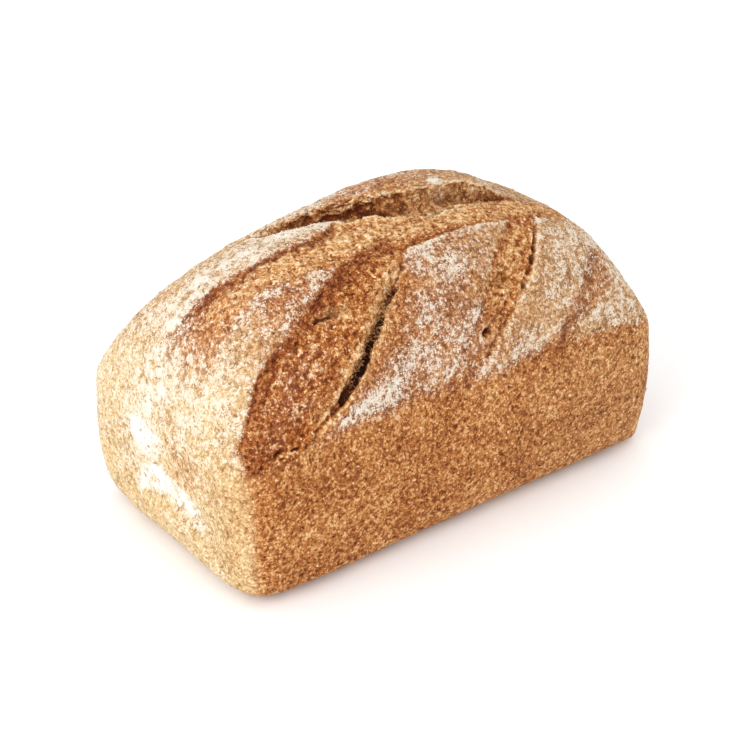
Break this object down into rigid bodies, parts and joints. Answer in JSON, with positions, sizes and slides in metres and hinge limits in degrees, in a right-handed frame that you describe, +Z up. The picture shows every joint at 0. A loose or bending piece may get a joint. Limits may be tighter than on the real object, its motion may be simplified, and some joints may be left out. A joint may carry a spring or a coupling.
{
  "type": "tin loaf",
  "caption": "Whole wholegrain bread loaf baked in a tin, with straight sides, a domed floured top, long open scores and a raised flap along the ridge.",
  "frame": {"origin": "under the middle of the loaf's box, on the surface that it rests on", "axes": "+X along the loaf, -Y towards the long side that the scores run down, +Z up"},
  "size_m": [0.2082, 0.114, 0.1206],
  "materials": {
    "crust": "matte baked wholegrain crust, floured on the skins and rough golden brown where the scores opened"
  },
  "bodies": {
    "root": {"loaf": "crust"}
  },
  "joints": []
}
